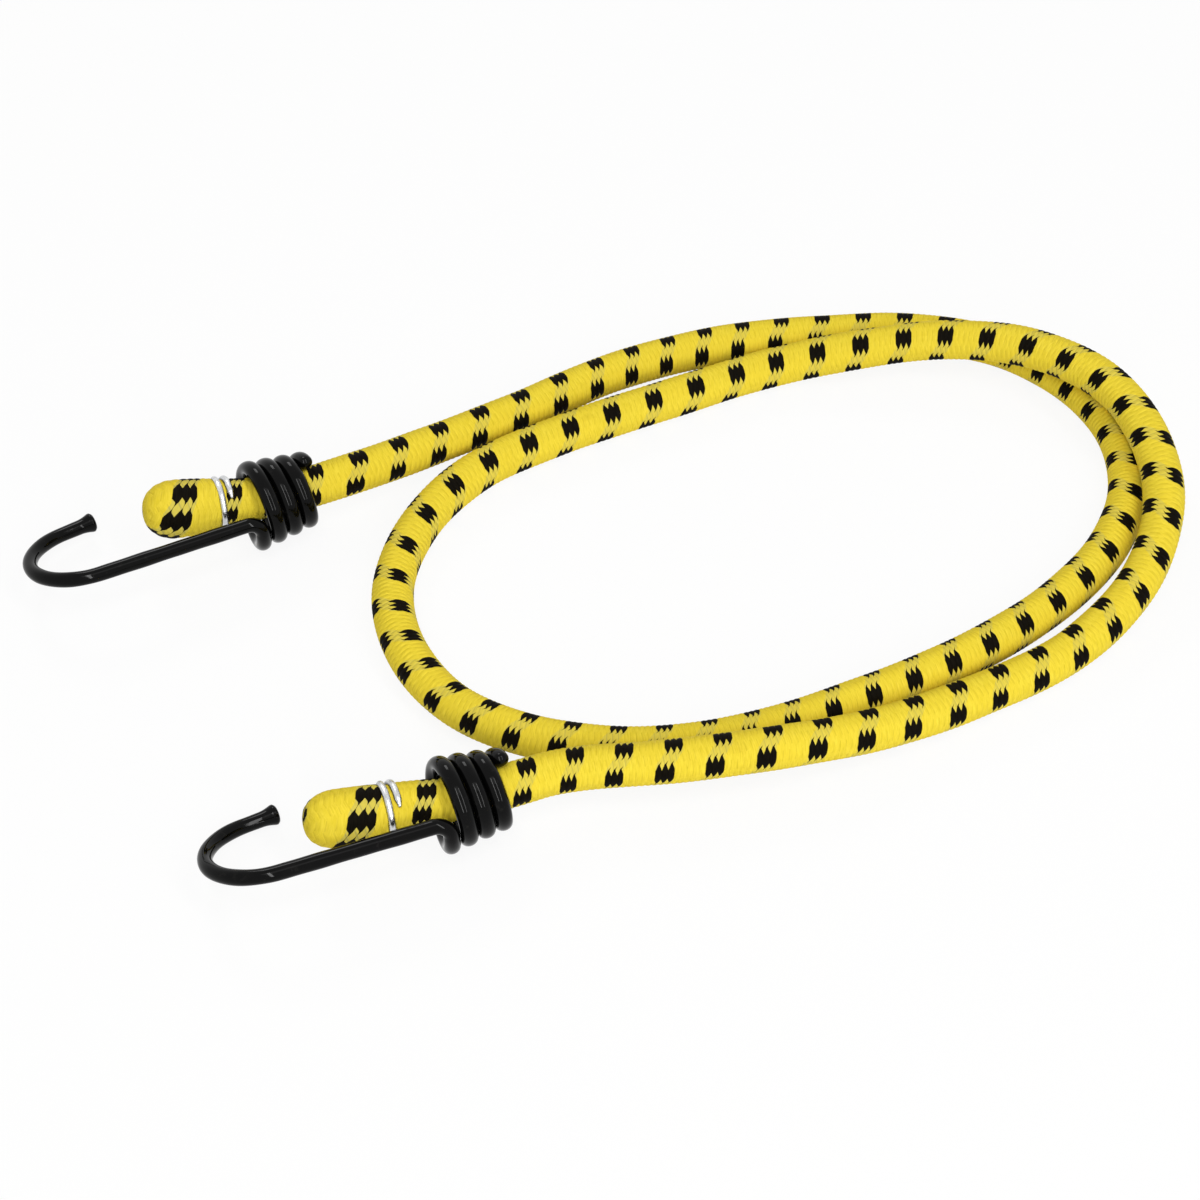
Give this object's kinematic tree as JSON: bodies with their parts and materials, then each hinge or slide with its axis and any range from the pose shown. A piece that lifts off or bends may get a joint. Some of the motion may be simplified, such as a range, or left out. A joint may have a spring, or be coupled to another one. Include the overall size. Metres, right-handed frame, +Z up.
{
  "type": "bungee cord",
  "caption": "Elastic bungee cord with a striped braided sheath, laid down in loops, with a coated wire hook coiled round each clipped cord end.",
  "frame": {"origin": "on the table, at the middle of the footprint of the two hooked ends", "axes": "+X along both hooks, to within 3 degrees, from their bends towards the loops of cord, +Y from hook b towards hook a, +Z up from the table"},
  "size_m": [0.2417, 0.1279, 0.0193],
  "materials": {
    "sheath": "braided yarn, satin",
    "core": "matt",
    "clip": "bright galvanised",
    "wire": "drawn",
    "coating": "dipped, satin gloss"
  },
  "bodies": {
    "loops": {"sheath_loops": "sheath", "core_loops": "core"},
    "end_a": {"sheath_end_a": "sheath", "core_end_a": "core", "clip_a": "clip"},
    "hook_a": {"hook_a_wire": "wire", "hook_a_coating": "coating"},
    "end_b": {"sheath_end_b": "sheath", "core_end_b": "core", "clip_b": "clip"},
    "hook_b": {"hook_b_wire": "wire", "hook_b_coating": "coating"}
  },
  "joints": [
    {"name": "stretch_a", "type": "slide", "parent": "loops", "child": "end_a", "axis": [-0.9995, -0.0314, 0], "range_m": [0, 0.06], "stiffness_N_per_m": 300, "deforming": ["sheath_loops", "core_loops"]},
    {"name": "swivel_a", "type": "hinge", "parent": "end_a", "child": "hook_a", "pos_m": [0.01142, 0.04255, 0.01], "axis": [0.9995, 0.0314, 0], "range_deg": [-40, 165]},
    {"name": "stretch_b", "type": "slide", "parent": "loops", "child": "end_b", "axis": [-0.9988, 0.0488, 0], "range_m": [0, 0.06], "stiffness_N_per_m": 300, "deforming": ["sheath_loops", "core_loops"]},
    {"name": "swivel_b", "type": "hinge", "parent": "end_b", "child": "hook_b", "pos_m": [0.01942, -0.04975, 0.01], "axis": [0.9988, -0.0488, 0], "range_deg": [-30, 170]}
  ]
}
